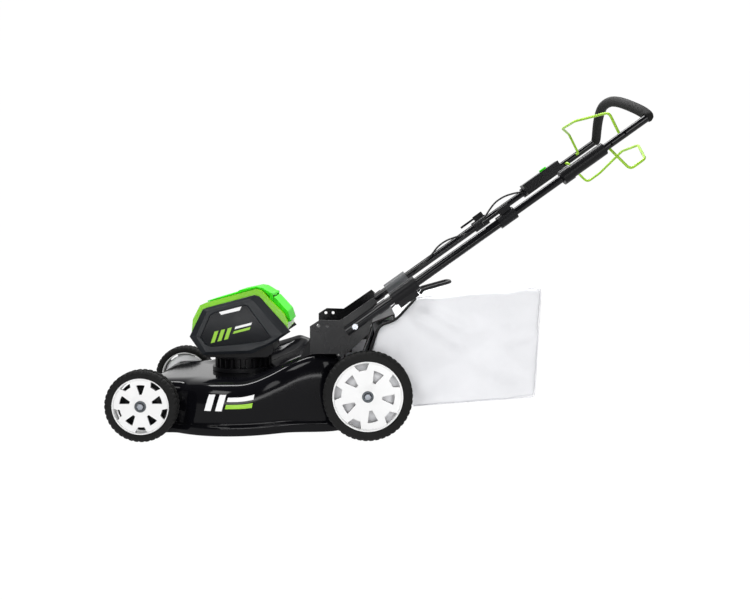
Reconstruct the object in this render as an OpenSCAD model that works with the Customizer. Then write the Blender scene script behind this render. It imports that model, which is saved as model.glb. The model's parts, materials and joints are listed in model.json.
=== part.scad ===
// Walk-behind battery lawn mower with a steel deck, four wheels, a folding
// telescopic handle with two bails, and a fabric grass bag.
// The front of the mower points along -X, the operator stands at +X, +Z is up.
// Lengths are in millimetres. Heights are measured from the ground.

/* [Wheels] */
// Radius of the front wheels
front_r = 101.5; // [90:0.5:110]
// Radius of the rear wheels
rear_r = 127; // [115:0.5:140]
// Distance between the front and rear wheel centres
wheelbase = 636; // [620:1:650]
// Half of the width over the tyres' outer faces
track_half = 285; // [283:1:300]
// Width of a front tyre
front_w = 44; // [40:1:46]
// Width of a rear tyre
rear_w = 48; // [44:1:50]

/* [Deck] */
// Radius of the round part of the deck
deck_r = 271; // [265:1:273]
// Radius of the blade tip circle
blade_r = 258; // [240:1:260]
// Thickness of the deck's steel
deck_t = 3; // [2:0.5:4]
// Half width of the straight sides beside the wheels
deck_half = 222; // [215:1:223]
// Height of the deck's lower edge
deck_bottom = 14; // [10:1:20]

/* [Handle] */
// Slope of the handle above the ground
handle_angle = 35.5; // [30:0.5:40]
// Half of the distance between the two handle tubes
tube_half = 236; // [235:0.5:240]
// Radius of the lower tubes
lower_r = 13; // [12.5:0.1:14]
// Radius of the sliding upper tubes
upper_r = 11; // [10:0.1:11.5]
// Distance from the fold bolt to the grip's corners
handle_len = 1016; // [980:1:1040]
// Height of the grip's arch above the tubes
arch_rise = 92; // [80:1:100]

/* [Grass bag] */
// Half width of the bag
bag_half = 196; // [180:1:200]
// Thickness of the bag's wall
bag_t = 5; // [4:0.5:8]

/* [Hidden] */
$fn = 48;
eps = 0.01;

// Fold bolt of the handle, measured from the front wheel centre
fold_x = 600;
fold_z = 323;
// Middle of the blade and of the round part of the deck
shaft_x = 245;
// Drive bail: bends in the handle's own directions, along and above the tubes
drive_pivot = [884, -13];
drive_knee = [902, -95];
drive_turn = [954, -95];
drive_bar = [1010, -65];
// Blade bail bends
blade_pivot = [932, 8];
blade_knee = [942, 73];
blade_bar = [893, 106];
bail_r = 3.2;
bail_half = 205;
bail_bar_half = 70;
cos_h = cos(handle_angle);
sin_h = sin(handle_angle);
// A point of the handle: distance along the tube, across the mower, above the tube
function hp(along, y, above) = [
    fold_x + along * cos_h - above * sin_h, y, fold_z + along * sin_h + above * cos_h];
// The object spans from the front tyres to the drive bail's bar
x_first = -front_r;
x_last = hp(drive_bar[0], 0, drive_bar[1])[0] + bail_r;
x_mid = (x_first + x_last) / 2;

module place() { translate([-x_mid, 0, 0]) children(); }

// Straight round bar between two points
module rod(p, q, r) {
    d = q - p;
    len = norm(d);
    translate(p)
        rotate([0, acos(d[2] / len), atan2(d[1], d[0])])
            cylinder(r = r, h = len);
}
// Round bar along a list of points, with a ball at each bend
module chain(pts, r) {
    for (i = [0 : len(pts) - 2]) rod(pts[i], pts[i + 1], r);
    if (len(pts) > 2) for (i = [1 : len(pts) - 2]) translate(pts[i]) sphere(r = r + 0.1);
}
// Route with each inner corner rounded
function toward(p, q, reach) = p + (q - p) / norm(q - p) * min(reach, norm(q - p) * 0.45);
function rounded(route, reach, steps) = concat([route[0]],
    [for (i = [1 : len(route) - 2])
        let(a = toward(route[i], route[i - 1], reach), b = toward(route[i], route[i + 1], reach))
        for (k = [0 : steps]) let(t = k / steps)
            a * (1 - t) * (1 - t) + route[i] * 2 * t * (1 - t) + b * t * t],
    [route[len(route) - 1]]);
function unit(v) = v / norm(v);
// Sideways directions that don't twist along the route
function carried(tangents, side, i = 0) = i >= len(tangents) ? [] :
    let(s = unit(side - tangents[i] * (side * tangents[i])))
    concat([s], carried(tangents, s, i + 1));
// Bent wire or cable: one closed sweep with rounded corners
wire_sides = 12;
module wire(points, r, reach) {
    route = rounded(points, reach, 4);
    last = len(route) - 1;
    tangents = [for (i = [0 : last]) unit(route[min(i + 1, last)] - route[max(i - 1, 0)])];
    start = abs(tangents[0][2]) < 0.9 ? [0, 0, 1] : [1, 0, 0];
    sides = carried(tangents, unit(cross(tangents[0], start)));
    n = wire_sides;
    skin = [for (i = [0 : last]) for (k = [0 : n - 1])
        route[i] + r * (cos(360 * k / n) * sides[i] + sin(360 * k / n) * cross(tangents[i], sides[i]))];
    wall = [for (i = [0 : last - 1]) for (k = [0 : n - 1])
        let(a = i * n + k, b = i * n + (k + 1) % n) each [[a, a + n, b + n], [a, b + n, b]]];
    ends = [[for (k = [0 : n - 1]) k], [for (k = [n - 1 : -1 : 0]) last * n + k]];
    polyhedron(points = skin, faces = concat(wall, ends), convexity = 8);
}
// Side outline in X and Z, made solid between y0 and y1
module side_slab(points, y0, y1) {
    translate([0, y1, 0]) rotate([90, 0, 0]) linear_extrude(y1 - y0) polygon(points);
}
// Cylinder along Y from y0 to y1
module y_bar(x, z, r, y0, y1) {
    translate([x, y1, z]) rotate([90, 0, 0]) cylinder(r = r, h = y1 - y0);
}
// Cylinder lying along the handle tube
module along_tube(side, u0, u1, r) {
    rod(hp(u0, side * tube_half, 0), hp(u1, side * tube_half, 0), r);
}
// Box whose sides follow the handle's directions
module handle_box(u0, u1, y0, y1, n0, n1) {
    translate(hp(0, 0, 0)) rotate([0, -handle_angle, 0])
        translate([u0, y0, n0]) cube([u1 - u0, y1 - y0, n1 - n0]);
}

// ---- Deck -------------------------------------------------------------
band_r = deck_r + 3;
band_top = 42;
shoulder_z = 148;
crown_z = 163;
deck_profile = [
    [-40, deck_bottom], [-40, band_top], [-30, 112], [-8, 146], [40, crown_z], [300, crown_z + 1],
    [478, 237], [575, 240], [575, deck_bottom]];
module deck_solid(inset) {
    translate([shaft_x, 0, deck_bottom - (inset > 0 ? 1 : 0)])
        cylinder(r = band_r - inset, h = band_top - deck_bottom + (inset > 0 ? 1 : 0));
    translate([shaft_x, 0, band_top - eps])
        cylinder(r1 = deck_r - inset, r2 = deck_r - 9 - inset, h = shoulder_z - band_top);
    translate([shaft_x, 0, shoulder_z - 2 * eps])
        cylinder(r1 = deck_r - 9 - inset, r2 = deck_r - 55 - inset, h = crown_z - shoulder_z - inset);
}
module deck_inner_box() {
    side_slab([
        [-40 + deck_t, deck_bottom - 1], [-40 + deck_t, band_top], [-30 + deck_t, 111],
        [-6, 143], [41, crown_z - deck_t], [300, crown_z - deck_t + 1],
        [479, 237 - deck_t], [575 - deck_t, 240 - deck_t], [575 - deck_t, deck_bottom - 1]],
        -deck_half + deck_t, deck_half - deck_t);
}
module deck_shell() place() color([0.03, 0.03, 0.035]) difference() {
    union() {
        deck_solid(0);
        side_slab(deck_profile, -deck_half, deck_half);
    }
    deck_solid(deck_t);
    deck_inner_box();
    // motor hole, chute opening, rear mouth and side discharge
    translate([shaft_x, 0, 100]) cylinder(r = 40, h = 100);
    translate([455, -150, 150]) cube([100, 300, 120]);
    translate([560, -150, 70]) cube([30, 300, 140]);
    translate([165, 200, 44]) cube([160, 100, 66]);
    // pivot holes of the four height arms
    for (s = [-1, 1]) {
        y_bar(front_pivot[0], front_pivot[1], 5.05, s * 222 - 8, s * 222 + 8);
        y_bar(rear_pivot[0], rear_pivot[1], 5.05, s * 222 - 8, s * 222 + 8);
    }
}
// Hood over the rear opening, which turns the clippings into the bag
chute_half = 190;
module rear_chute() place() color([0.05, 0.05, 0.055]) difference() {
    side_slab([[436, 219.9], [478, 237.2], [575, 240.2], [590, 240.2], [590, 292], [470, 286]],
        -chute_half, chute_half);
    side_slab([[450, 219], [478, 230], [575, 230], [600, 230], [600, 288], [474, 282]],
        -chute_half + 4, chute_half - 4);
    y_bar(585, 300, 12, -181, 181);
}
// Flap over the side discharge on the right
module side_door() place() color([0.07, 0.07, 0.075]) {
    difference() {
        translate([155, band_r + 1.5, 20]) cube([180, 3, 96]);
        for (x = [164, 309]) translate([x, band_r, 111.5]) cube([18, 5, 6]);
    }
    for (x = [165, 310]) difference() {
        translate([x, band_r + 1.5, 112]) cube([16, 9, 14]);
        translate([x - 1, band_r + 6, 120]) rotate([0, 90, 0]) cylinder(r = 3.05, h = 18);
    }
}
module side_door_pin() place() color("silver") {
    translate([150, band_r + 6, 120]) rotate([0, 90, 0]) cylinder(r = 3, h = 190);
    for (x = [146, 336]) difference() {
        translate([x, band_r - 40, 115]) cube([8, 48, 10]);
        translate([shaft_x, 0, 42]) cylinder(r1 = deck_r + 0.2, r2 = deck_r - 8.8, h = 106);
    }
}
// Door over the bag's mouth, hinged on the chute
door_z = 300;
module rear_door() place() color([0.05, 0.05, 0.055]) difference() {
    union() {
        y_bar(585, door_z, 7.5, -172, 172);
        side_slab([[588, 296.5], [588, 303.5], [708, 350], [716, 350], [716, 336], [712.5, 336],
            [712.5, 345], [708, 345.5]], -180, 180);
    }
    y_bar(585, door_z, 4.05, -200, 200);
}
module rear_door_pin() place() color("silver") {
    y_bar(585, door_z, 4, -186, 186);
    for (s = [-1, 1]) translate([578, s > 0 ? 182.5 : -189.5, 292.1]) cube([14, 7, 14]);
}
module trailing_shield() place() color([0.06, 0.06, 0.06])
    side_slab([[577, 62], [581, 62], [690, 17], [702, 15], [703, 19], [690, 22], [583, 68], [577, 68]],
        -190, 190);

// ---- Height arms and wheels --------------------------------------------
// Each wheel hangs on a trailing arm whose pivot is in the deck's side
front_pivot = [85, 88];
rear_pivot = [551, 113];
arm_t = 5;
wheel_bolt_r = 6;
module height_arm(side, pivot, wheel_x, wheel_z, y_in, y_end) {
    dx = wheel_x - pivot[0];
    dz = wheel_z - pivot[1];
    y0 = side > 0 ? y_in : -y_in - arm_t;
    y1 = side > 0 ? y_in + arm_t : -y_in;
    out0 = side > 0 ? y_in : -y_end;
    out1 = side > 0 ? y_end : -y_in;
    pin0 = side > 0 ? 212 : -y_in - 1;
    pin1 = side > 0 ? y_in + 1 : -212;
    turn = atan2(dz, dx);
    // plate with a round end at the pivot and at the wheel
    plate = concat(
        [for (a = [90 : 15 : 270]) pivot + 14 * [cos(a + turn), sin(a + turn)]],
        [for (a = [-90 : 15 : 90]) [wheel_x, wheel_z] + 15 * [cos(a + turn), sin(a + turn)]]);
    color([0.12, 0.12, 0.13]) {
        side_slab(plate, y0, y1);
        y_bar(pivot[0], pivot[1], 5, pin0, pin1);
        // stub axle with its hex head
        y_bar(wheel_x, wheel_z, wheel_bolt_r, out0, out1);
        translate([wheel_x, side > 0 ? y_end + bolt_head : -y_end, wheel_z])
            rotate([90, 0, 0]) cylinder(r = 8.5, h = bolt_head, $fn = 6);
    }
}
bolt_head = 3.4;
// Inner face of the wheel bolts' heads, just outside the rims' hubs
bolt_seat = track_half - bolt_head - 0.2;
front_arm_in = 231;
rear_arm_in = 226;
module front_left_arm() place() height_arm(-1, front_pivot, 0, front_r, front_arm_in, bolt_seat);
module front_right_arm() place() height_arm(1, front_pivot, 0, front_r, front_arm_in, bolt_seat);
module rear_left_arm() place() height_arm(-1, rear_pivot, wheelbase, rear_r, rear_arm_in, bolt_seat);
// The right rear arm carries the height lever, which stands up beside the deck
module rear_right_arm() place() {
    height_arm(1, rear_pivot, wheelbase, rear_r, rear_arm_in, bolt_seat);
    color([0.12, 0.12, 0.13]) translate([rear_pivot[0], rear_arm_in + 0.5, rear_pivot[1]])
        rotate([0, -20, 0]) translate([-6, 0, 8]) cube([12, arm_t - 1, 137]);
}
module height_lever_knob() place() color([0.05, 0.05, 0.05])
    translate([rear_pivot[0], rear_arm_in, rear_pivot[1]]) rotate([0, -20, 0])
        difference() {
            translate([0, 6.5, 128]) cylinder(r = 9, h = 42);
            translate([-6, 0.5, 127]) cube([12, arm_t - 1, 18]);
        }

rim_ratio = 0.806;
module tyre(r, w) {
    inner = r * rim_ratio;
    color([0.04, 0.04, 0.04]) rotate_extrude($fn = 96)
        polygon([[inner, -w / 2 + 3], [r - 6, -w / 2], [r, -w / 2 + 7], [r, w / 2 - 7],
            [r - 6, w / 2], [inner, w / 2 - 3]]);
}
// Rim: outer ring, a web with windows, and a hub
module rim(r, w, windows) {
    ring = r * rim_ratio;
    color([0.93, 0.93, 0.93]) difference() {
        rotate_extrude($fn = 96) polygon([
            [wheel_bolt_r + 0.05, -w / 2 + 4], [18, -w / 2 + 4], [22, -w / 2 + 12],
            [ring - 9, -w / 2 + 12], [ring - 6, -w / 2 + 1], [ring, -w / 2 + 1],
            [ring, w / 2 - 3], [ring - 6, w / 2 - 3], [ring - 9, -w / 2 + 17],
            [22, -w / 2 + 17], [18, w / 2 - 4], [wheel_bolt_r + 0.05, w / 2 - 4]]);
        for (i = [0 : windows - 1]) rotate([0, 0, i * 360 / windows])
            translate([0, 0, -w / 2]) linear_extrude(w) polygon([
                [ring - 12, ring * 0.17], [ring - 12, -ring * 0.17],
                [ring * 0.55, -ring * 0.07], [ring * 0.55, ring * 0.07]]);
    }
}
// A wheel's outer face has its local -Z side outwards
module on_wheel(side, x, r, w) {
    translate([x, side * (track_half - w / 2), r]) rotate([side > 0 ? 90 : -90, 0, 0]) children();
}
module front_left_tyre() place() on_wheel(-1, 0, front_r, front_w) tyre(front_r, front_w);
module front_right_tyre() place() on_wheel(1, 0, front_r, front_w) tyre(front_r, front_w);
module rear_left_tyre() place() on_wheel(-1, wheelbase, rear_r, rear_w) tyre(rear_r, rear_w);
module rear_right_tyre() place() on_wheel(1, wheelbase, rear_r, rear_w) tyre(rear_r, rear_w);
module front_left_rim() place() on_wheel(-1, 0, front_r, front_w) rim(front_r, front_w, 9);
module front_right_rim() place() on_wheel(1, 0, front_r, front_w) rim(front_r, front_w, 9);
module rear_left_rim() place() on_wheel(-1, wheelbase, rear_r, rear_w) rim(rear_r, rear_w, 9);
module rear_right_rim() place() on_wheel(1, wheelbase, rear_r, rear_w) rim(rear_r, rear_w, 9);

// ---- Blade and motor -----------------------------------------------------
blade_z = 52;
shaft_r = 9;
module rotor_shaft() place() color("silver")
    translate([shaft_x, 0, blade_z + 8]) cylinder(r = shaft_r, h = 200);
module blade_adapter() place() color("dimgray") difference() {
    translate([shaft_x, 0, blade_z + 4]) cylinder(r = 30, h = 34);
    translate([shaft_x, 0, blade_z + 8]) cylinder(r = shaft_r, h = 60);
    translate([shaft_x, 0, blade_z]) cylinder(r = 5, h = 30);
}
module blade() place() color("gray") difference() {
    union() {
        translate([shaft_x - 27, -blade_r + 6, blade_z]) cube([54, 2 * blade_r - 12, 4]);
        for (s = [-1, 1]) translate([shaft_x, 0, blade_z]) rotate([0, 0, s > 0 ? 0 : 180])
            translate([12, 130, 3.5]) cube([15, 118, 18]);
    }
    translate([shaft_x, 0, blade_z - 1]) cylinder(r = 5, h = 10);
}
module blade_bolt() place() color("silver") {
    translate([shaft_x, 0, blade_z - 8]) cylinder(r = 11, h = 8, $fn = 6);
    translate([shaft_x, 0, blade_z - 1]) cylinder(r = 5, h = 9);
}
module motor_housing() place() color([0.06, 0.06, 0.065]) difference() {
    union() {
        translate([shaft_x, 0, crown_z + 1.2]) cylinder(r = 96, h = 12);
        translate([shaft_x, 0, crown_z + 12]) cylinder(r = 72, h = 37);
        for (a = [0 : 15 : 345]) translate([shaft_x, 0, crown_z + 12]) rotate([0, 0, a])
            translate([66, -2, 0]) cube([22, 4, 28]);
    }
    translate([shaft_x, 0, crown_z]) cylinder(r = 38, h = 42);
    translate([shaft_x, 0, crown_z - 2]) cylinder(r = 12, h = 60);
    // clears the deck where it starts to climb
    side_slab([[280, 100], [280, 164.6], [300, 164.6], [480, 239.5], [480, 100]], -120, 120);
}

// ---- Battery head ----------------------------------------------------------
head_half = 104;
panel_t = 10;
panel_outline = [[100, 278], [141, 360], [296, 403], [311, 399], [401, 296], [349, 258],
    [297, 229], [137, 222]];
shell_outline = [[106, 292], [110, 330], [132, 372], [150, 380], [300, 421], [316, 416],
    [386, 344], [396, 319], [396, 300], [346, 262], [296, 236], [140, 230]];
bay_outline = [[122, 300], [124, 328], [142, 364], [154, 368], [300, 408], [309, 405],
    [374, 338], [380, 318], [380, 306], [339, 274], [292, 250], [150, 246]];
lid_half = 84;
module head_base() place() color([0.05, 0.05, 0.055]) difference() {
    side_slab([[150, 212.6], [330, 212.6], [347, 226], [349, 255], [296, 234.5], [140, 228.5],
        [136, 226]], -92, 92);
    translate([shaft_x, 0, 200]) cylinder(r = 12, h = 60);
}
module side_panel(side) {
    color([0.09, 0.09, 0.1]) difference() {
        side_slab(panel_outline, side > 0 ? head_half : -head_half - panel_t,
            side > 0 ? head_half + panel_t : -head_half);
        side_slab([[138, 296], [160, 346], [288, 383], [300, 380], [372, 300], [340, 276],
            [290, 250], [150, 244]],
            side > 0 ? head_half + panel_t - 3 : -head_half - panel_t - 1,
            side > 0 ? head_half + panel_t + 1 : -head_half - panel_t + 3);
    }
}
module left_side_panel() place() side_panel(-1);
module right_side_panel() place() side_panel(1);
module head_shell() place() color([0.35, 0.75, 0.1]) difference() {
    side_slab(shell_outline, -head_half, head_half);
    side_slab(bay_outline, -head_half + 8, head_half - 8);
    // battery opening under the lid
    side_slab([[160, 360], [150, 400], [300, 440], [310, 398]], -70, 70);
    translate([shaft_x, 0, 200]) cylinder(r = 12, h = 80);
}
lid_hinge = [345, 403];
module battery_lid() place() color([0.5, 0.9, 0.15]) difference() {
    union() {
        side_slab([[150, 384.5], [240, 411], [249, 418], [299, 427.5], [316, 424], [342, 405],
            [342, 400.5], [337, 400.5], [316, 420], [300, 424.3], [152, 382.5]], -lid_half, lid_half);
        y_bar(lid_hinge[0], lid_hinge[1], 5, -60, 60);
    }
    y_bar(lid_hinge[0], lid_hinge[1], 2.05, -92, 92);
}
module lid_pin() place() color("silver") {
    y_bar(lid_hinge[0], lid_hinge[1], 2, -91, 91);
    for (s = [-1, 1]) side_slab([[339.5, 392.3], [349, 382.5], [350, 406], [342, 406]],
        s > 0 ? 85 : -91, s > 0 ? 91 : -85);
}
module battery() place() color([0.15, 0.15, 0.16])
    side_slab([[165, 300], [168, 352], [292, 386], [305, 380], [312, 300]], -62, 62);
module safety_key() place() color([0.8, 0.5, 0.05])
    side_slab([[325, 300], [325, 340], [345, 340], [345, 300]], -6, 6);

// ---- Handle brackets and lower tubes ------------------------------------------
bracket_t = 4;
module bracket(side) {
    y0 = side > 0 ? deck_half - 6 : -deck_half + 2;
    plate = [[470, 237], [478, 240.2], [575, 240.2], [600, 262], [640, 300], [664, 392], [652, 402],
        [556, 336], [498, 338], [470, 320]];
    color([0.06, 0.06, 0.065]) difference() {
        union() {
            side_slab(plate, y0, y0 + bracket_t);
            side_slab([[480, 240.4], [575, 240.4], [575, 244], [480, 244]],
                side > 0 ? y0 - 22 : y0, side > 0 ? y0 + bracket_t : y0 + bracket_t + 22);
        }
        y_bar(fold_x, fold_z, 5.05, y0 - 1, y0 + bracket_t + 1);
        for (x = [495, 520]) y_bar(x, 322, 5, y0 - 1, y0 + bracket_t + 1);
    }
}
module left_bracket() place() bracket(-1);
module right_bracket() place() bracket(1);
module fold_bolts() place() color("silver") for (s = [-1, 1]) {
    y0 = s > 0 ? deck_half - 14 : -tube_half - 22;
    y1 = s > 0 ? tube_half + 22 : -deck_half + 14;
    y_bar(fold_x, fold_z, 5, y0, y1);
    translate([fold_x, s > 0 ? y1 + 6 : y0, fold_z]) rotate([90, 0, 0])
        cylinder(r = 8.5, h = 6, $fn = 6);
}
lower_end = 500;
sleeve_u = [76, 112];
module lower_tube(side) {
    color([0.05, 0.05, 0.055]) difference() {
        union() {
            along_tube(side, -30, lower_end, lower_r);
            along_tube(side, sleeve_u[0], sleeve_u[1], lower_r + 2.5);
        }
        along_tube(side, -40, lower_end + 10, upper_r + 0.05);
        y_bar(fold_x, fold_z, 5.05, side * tube_half - 30, side * tube_half + 30);
    }
}
module left_lower_tube() place() lower_tube(-1);
module right_lower_tube() place() lower_tube(1);
// Knuckle clamped on each lower tube, with a ribbed body below it
module knuckle(side) {
    y = side * tube_half;
    color([0.07, 0.07, 0.075]) difference() {
        union() {
            along_tube(side, 130, 214, lower_r + 8);
            handle_box(136, 200, y - 14, y + 14, -34, 6);
        }
        along_tube(side, 100, 240, lower_r);
    }
}
module left_knuckle() place() knuckle(-1);
module right_knuckle() place() knuckle(1);
// Clamp at the mouth of each lower tube, with its cam lever
cam_u = [500.5, 556];
cam_pin = [536, 24];
module cam_block(side) {
    y = side * tube_half;
    color([0.07, 0.07, 0.075]) difference() {
        union() {
            along_tube(side, cam_u[0], cam_u[1], lower_r + 5);
            handle_box(518, 552, y - 9, y + 9, 8, 33);
        }
        along_tube(side, cam_u[0] - 5, cam_u[1] + 5, upper_r + 0.05);
        handle_box(510, 560, y - 5, y + 5, 17.5, 40);
        rod(hp(cam_pin[0], y - 20, cam_pin[1]), hp(cam_pin[0], y + 20, cam_pin[1]), 2.5);
    }
    color("silver")
        rod(hp(cam_pin[0], y - 9, cam_pin[1]), hp(cam_pin[0], y + 9, cam_pin[1]), 2.5);
}
module cam_lever(side) {
    y = side * tube_half;
    color([0.06, 0.06, 0.065]) difference() {
        union() {
            rod(hp(cam_pin[0], y - 4.5, cam_pin[1]), hp(cam_pin[0], y + 4.5, cam_pin[1]), 6);
            handle_box(464, 534, y - 4.5, y + 4.5, 23, 30);
        }
        rod(hp(cam_pin[0], y - 20, cam_pin[1]), hp(cam_pin[0], y + 20, cam_pin[1]), 2.55);
    }
}
module left_cam_block() place() cam_block(-1);
module right_cam_block() place() cam_block(1);
module left_cam_lever() place() cam_lever(-1);
module right_cam_lever() place() cam_lever(1);

// ---- Upper handle, grip and controls --------------------------------------------
arch = [
    hp(handle_len, -tube_half, 0), hp(handle_len + 6, -170, 40), hp(handle_len + 10, -95, 75),
    hp(handle_len + 12, -45, 89), hp(handle_len + 12, 0, arch_rise),
    hp(handle_len + 12, 45, 89), hp(handle_len + 10, 95, 75), hp(handle_len + 6, 170, 40),
    hp(handle_len, tube_half, 0)];
module bail_holes(pivot) {
    rod(hp(pivot[0], -tube_half - 20, pivot[1]), hp(pivot[0], tube_half + 20, pivot[1]), bail_r + 0.05);
}
module upper_handle() place() color([0.05, 0.05, 0.055]) difference() {
    union() {
        for (s = [-1, 1]) {
            along_tube(s, 262, handle_len, upper_r);
            translate(hp(handle_len, s * tube_half, 0)) sphere(r = upper_r + 0.1);
        }
        chain(arch, upper_r);
    }
    for (s = [-1, 1]) {
        along_tube(s, 255, handle_len, upper_r - 1.6);
        translate(hp(handle_len, s * tube_half, 0)) sphere(r = upper_r - 1.5);
    }
    chain(arch, upper_r - 1.6);
    bail_holes([blade_pivot[0], 2]);
    bail_holes([drive_pivot[0], -2]);
}
grip_r = 15.3;
module foam_grip() place() color([0.05, 0.05, 0.05]) difference() {
    chain(arch, grip_r);
    chain(arch, upper_r + 0.1);
    for (s = [-1, 1]) {
        along_tube(s, handle_len - 60, handle_len + 2, upper_r + 0.15);
        translate(hp(handle_len, s * tube_half, 0)) sphere(r = upper_r + 0.4);
    }
}
housing_u = [724, 862];
module bail_housing() place() color([0.06, 0.06, 0.065]) difference() {
    union() {
        along_tube(-1, housing_u[0], housing_u[1], 18.5);
        along_tube(-1, housing_u[0] - 6, housing_u[0] + 26, 21);
    }
    along_tube(-1, housing_u[0] - 20, housing_u[1] + 20, upper_r);
}
box_u = [705, 857];
module control_box() place() color([0.06, 0.06, 0.065]) difference() {
    union() {
        along_tube(1, box_u[0], box_u[1], 17);
        handle_box(box_u[0] + 4, box_u[1] - 4, tube_half - 58, tube_half - 10, -12, 26);
    }
    along_tube(1, box_u[0] - 5, box_u[1] + 5, upper_r);
    rod(hp(button_u, button_y, 16), hp(button_u, button_y, 40), 13.4);
}
button_u = 800;
button_y = tube_half - 36;
module start_button() place() color([0.5, 0.8, 0.1])
    rod(hp(button_u, button_y, 20.5), hp(button_u, button_y, 32), 13);
// Bail wires. Each one's ends turn into holes in the handle tubes.
module bail(pivot, knee, turn, bar) {
    half = concat(
        [hp(pivot[0], bail_half + 24, pivot[1]), hp(pivot[0], bail_half, pivot[1]),
            hp(knee[0], bail_half, knee[1])],
        turn == undef ? [] : [hp(turn[0], bail_half, turn[1])],
        [hp(bar[0], bail_bar_half, bar[1])]);
    n = len(half);
    left = [for (i = [0 : n - 1]) let(p = half[n - 1 - i]) [p[0], -p[1], p[2]]];
    wire(concat(half, left), bail_r, 14);
}
module blade_bail() place() color([0.45, 0.85, 0.1])
    bail([blade_pivot[0], 2], blade_knee, undef, blade_bar);
module drive_bail() place() color([0.45, 0.85, 0.1])
    bail([drive_pivot[0], -2], drive_knee, drive_turn, drive_bar);

// ---- Control cables, clipped to the tubes ------------------------------------------
cable_r = 3.2;
module lower_cables() place() color([0.06, 0.06, 0.06]) for (s = [-1, 1])
    wire([hp(470, s * (tube_half - 17), -4), hp(400, s * (tube_half - 17), -2),
        hp(300, s * (tube_half - 17), -4), hp(240, s * (tube_half - 17), -4)], cable_r, 25);
module upper_cables() place() color([0.06, 0.06, 0.06]) {
    wire([hp(704, tube_half - 34, 8), hp(680, tube_half - 34, 2), hp(650, tube_half - 30, -14),
        hp(610, tube_half - 26, -18), hp(575, tube_half - 25, -6)], cable_r, 25);
    wire([hp(716, -tube_half + 24, 0), hp(690, -tube_half + 26, -6), hp(650, -tube_half + 26, -16),
        hp(610, -tube_half + 26, -16), hp(575, -tube_half + 25, -6)], cable_r, 25);
}

// ---- Grass bag --------------------------------------------------------------------
bag_outline = [[592, 100], [640, 234], [669, 318], [718, 334], [776, 398], [890, 404],
    [1131, 414], [1140, 408], [1128, 112], [1118, 106], [770, 80]];
bag_inside = [[604, 106], [646, 232], [675, 313], [721, 328.5], [778.5, 393], [890, 399],
    [1130, 409], [1135, 405], [1123, 114], [1116, 111], [770, 85.5]];
module bag_fabric() place() color([0.85, 0.85, 0.86]) difference() {
    side_slab(bag_outline, -bag_half, bag_half);
    side_slab(bag_inside, -bag_half + bag_t, bag_half - bag_t);
    // mouth at the front
    side_slab([[560, 112], [611, 112], [668, 290], [668, 296], [560, 296]], -bag_half + 40, bag_half - 40);
}
// Steel wire hoop inside the mouth, open at the bottom
bag_wire_r = 3;
module bag_frame() place() color([0.15, 0.15, 0.15])
    wire([for (p = [[-1, 0], [-1, 1], [1, 1], [1, 0]])
        [622 + p[1] * 52, p[0] * (bag_half - 20), 140 + p[1] * 158]], bag_wire_r, 20);
module bag_handle() place() color([0.1, 0.1, 0.1])
    wire([[800, -58, 403], [806, -58, 416], [892, -52, 440], [896, 0, 441], [892, 52, 440],
        [806, 58, 416], [800, 58, 403]], 5, 14);

deck_shell();
rear_chute();
side_door();
side_door_pin();
rear_door();
rear_door_pin();
trailing_shield();
front_left_arm();
front_right_arm();
rear_left_arm();
rear_right_arm();
height_lever_knob();
front_left_tyre();
front_right_tyre();
rear_left_tyre();
rear_right_tyre();
front_left_rim();
front_right_rim();
rear_left_rim();
rear_right_rim();
rotor_shaft();
blade_adapter();
blade();
blade_bolt();
motor_housing();
head_base();
left_side_panel();
right_side_panel();
head_shell();
battery_lid();
lid_pin();
battery();
safety_key();
left_bracket();
right_bracket();
fold_bolts();
left_lower_tube();
right_lower_tube();
left_knuckle();
right_knuckle();
left_cam_block();
right_cam_block();
left_cam_lever();
right_cam_lever();
upper_handle();
foam_grip();
bail_housing();
control_box();
start_button();
blade_bail();
drive_bail();
lower_cables();
upper_cables();
bag_fabric();
bag_frame();
bag_handle();
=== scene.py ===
"""Looks of the walk-behind battery mower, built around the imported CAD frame."""
import json
import math

import bmesh
import bpy
import numpy as np
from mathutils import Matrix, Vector, noise


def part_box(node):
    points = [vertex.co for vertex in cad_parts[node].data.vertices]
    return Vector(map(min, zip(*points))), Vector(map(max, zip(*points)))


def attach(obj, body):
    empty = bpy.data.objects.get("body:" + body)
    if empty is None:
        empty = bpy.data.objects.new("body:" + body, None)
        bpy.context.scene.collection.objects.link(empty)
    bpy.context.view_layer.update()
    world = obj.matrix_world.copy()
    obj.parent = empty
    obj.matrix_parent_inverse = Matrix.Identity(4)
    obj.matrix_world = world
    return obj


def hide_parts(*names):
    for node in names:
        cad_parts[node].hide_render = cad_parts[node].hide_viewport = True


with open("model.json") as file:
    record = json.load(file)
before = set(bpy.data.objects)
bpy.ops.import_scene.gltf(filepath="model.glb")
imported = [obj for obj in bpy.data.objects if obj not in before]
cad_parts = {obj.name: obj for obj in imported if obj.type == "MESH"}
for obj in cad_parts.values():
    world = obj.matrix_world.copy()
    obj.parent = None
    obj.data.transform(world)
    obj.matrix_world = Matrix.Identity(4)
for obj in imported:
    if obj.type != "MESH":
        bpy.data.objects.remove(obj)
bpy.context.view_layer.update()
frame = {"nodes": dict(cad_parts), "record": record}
NODES = frame["nodes"]

# ---- Places, in metres, measured from the front wheels of the frame ---------
MM = 0.001
front_lo, front_hi = (Vector(c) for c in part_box("front_left_tyre"))
X0 = (front_lo.x + front_hi.x) / 2            # front wheel centre
FOLD = Vector((X0 + 600 * MM, 0, 323 * MM))   # fold bolt
SLOPE = math.radians(35.5)                    # rise of the handle tubes
ALONG = Vector((math.cos(SLOPE), 0, math.sin(SLOPE)))
ABOVE = Vector((-math.sin(SLOPE), 0, math.cos(SLOPE)))


def handle_point(along, y, above):
    """A point by its distance along the handle tube, across, and above it, in mm."""
    return FOLD + ALONG * along * MM + ABOVE * above * MM + Vector((0, y * MM, 0))


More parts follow.
